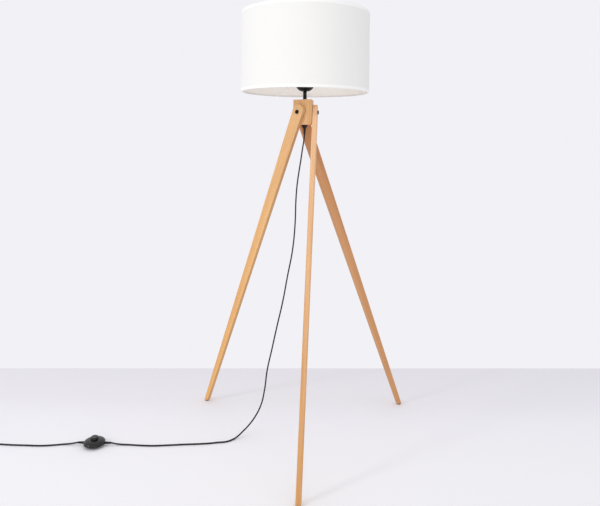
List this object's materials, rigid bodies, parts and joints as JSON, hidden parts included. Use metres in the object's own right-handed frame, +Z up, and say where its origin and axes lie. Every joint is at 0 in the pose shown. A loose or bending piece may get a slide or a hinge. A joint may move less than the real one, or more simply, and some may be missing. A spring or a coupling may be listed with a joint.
{
  "type": "tripod floor lamp",
  "caption": "Floor lamp with a white fabric drum shade on a short black stem, splayed tapered wooden legs bolted to a wooden hub, and a black mains lead with a round foot switch.",
  "frame": {"origin": "on the floor, straight below the lamp's axis", "axes": "+Z up along the stem; the front leg stands towards -Y; the lead runs out towards -X"},
  "size_m": [1.5227, 0.6714, 1.4646],
  "materials": {
    "wood": "oiled beech with fine straight grain along each leg",
    "brass": "plain turned brass",
    "dark_fibre": "thin hard fibre",
    "black_steel": "black satin",
    "pad_rubber": "matt",
    "zinc_steel": "zinc plated",
    "lead_pvc": "smooth black flexible sheath",
    "wire_insulation": "smooth",
    "holder_black": "moulded, fine grain",
    "ceramic": "pale moulded insulator",
    "shade_fabric": "white plain-woven fabric",
    "shade_liner": "smooth translucent sheet",
    "white_steel": "white powder coat",
    "bulb_glass": "clear",
    "nickel": "nickel plated",
    "black_glass": "fused black glass",
    "filament": "coated strip",
    "switch_black": "glossy moulded"
  },
  "bodies": {
    "stand": {"hub": "wood", "hub_inserts": "brass", "friction_washers": "dark_fibre", "leg_bolts": "black_steel", "stem_tube": "zinc_steel", "stem_sleeve": "black_steel", "stem_washer": "black_steel", "stem_nut": "black_steel", "stem_strain_relief": "lead_pvc", "lead_in_stem": "lead_pvc", "supply_wires": "wire_insulation", "holder_dish": "black_steel", "holder_cap": "holder_black", "holder_block": "ceramic", "holder_screws": "brass", "holder_centre_contact": "brass", "holder_thread_shell": "brass", "holder_skirt": "holder_black", "switch_base": "switch_black", "switch_cover": "switch_black", "switch_spring": "zinc_steel", "switch_block": "ceramic", "switch_terminals": "brass", "switch_screws": "zinc_steel", "switch_pads": "pad_rubber", "switch_strain_reliefs": "lead_pvc", "cord_to_switch": "lead_pvc", "cord_to_coil": "lead_pvc", "cord_coil": "lead_pvc", "cord_tail": "lead_pvc", "cord_tie": "lead_pvc", "plug_body": "switch_black", "plug_pins": "nickel", "plug_pin_sleeves": "lead_pvc", "plug_strain_relief": "lead_pvc"},
    "front_leg": {"front_leg": "wood", "front_foot_pad": "pad_rubber"},
    "left_leg": {"left_leg": "wood", "left_foot_pad": "pad_rubber"},
    "right_leg": {"right_leg": "wood", "right_foot_pad": "pad_rubber"},
    "shade": {"shade_fabric": "shade_fabric", "shade_liner": "shade_liner", "shade_top_ring": "white_steel", "shade_bottom_ring": "white_steel", "shade_spider_arms": "white_steel", "shade_fitter_ring": "white_steel", "shade_top_hem": "shade_fabric", "shade_bottom_hem": "shade_fabric", "shade_seam_tape": "shade_fabric"},
    "shade_ring_nut": {"shade_ring_nut": "holder_black"},
    "bulb": {"bulb_glass": "bulb_glass", "bulb_cap": "nickel", "bulb_insulator": "black_glass", "bulb_contact": "nickel", "bulb_stem": "bulb_glass", "bulb_filaments": "filament"},
    "switch_button": {"switch_button": "switch_black"}
  },
  "joints": [
    {"name": "front_leg_fold", "type": "hinge", "parent": "stand", "child": "front_leg", "pos_m": [0.03716, -0.00381, 1.117], "axis": [0.9948, -0.1019, 0], "range_deg": [0, 21.05]},
    {"name": "left_leg_fold", "type": "hinge", "parent": "stand", "child": "left_leg", "pos_m": [-0.02187, -0.03027, 1.117], "axis": [-0.5857, -0.8106, 0], "range_deg": [0, 14]},
    {"name": "right_leg_fold", "type": "hinge", "parent": "stand", "child": "right_leg", "pos_m": [-0.01528, 0.03408, 1.117], "axis": [-0.4091, 0.9125, 0], "range_deg": [0, 21.05]},
    {"name": "shade_turn", "type": "hinge", "parent": "stand", "child": "shade", "pos_m": [0, 0, 1.224], "axis": [0, 0, 1], "continuous": true},
    {"name": "ring_nut_turn", "type": "hinge", "parent": "stand", "child": "shade_ring_nut", "pos_m": [0, 0, 1.2305], "axis": [0, 0, 1], "continuous": true},
    {"name": "bulb_lift", "type": "slide", "parent": "stand", "child": "bulb", "axis": [0, 0, 1], "range_m": [0, 0.06]},
    {"name": "switch_button_press", "type": "slide", "parent": "stand", "child": "switch_button", "axis": [0, 0, -1], "range_m": [0, 0.003], "stiffness_N_per_m": 700, "springref_m": -0.001, "deforming": ["switch_spring"]}
  ]
}
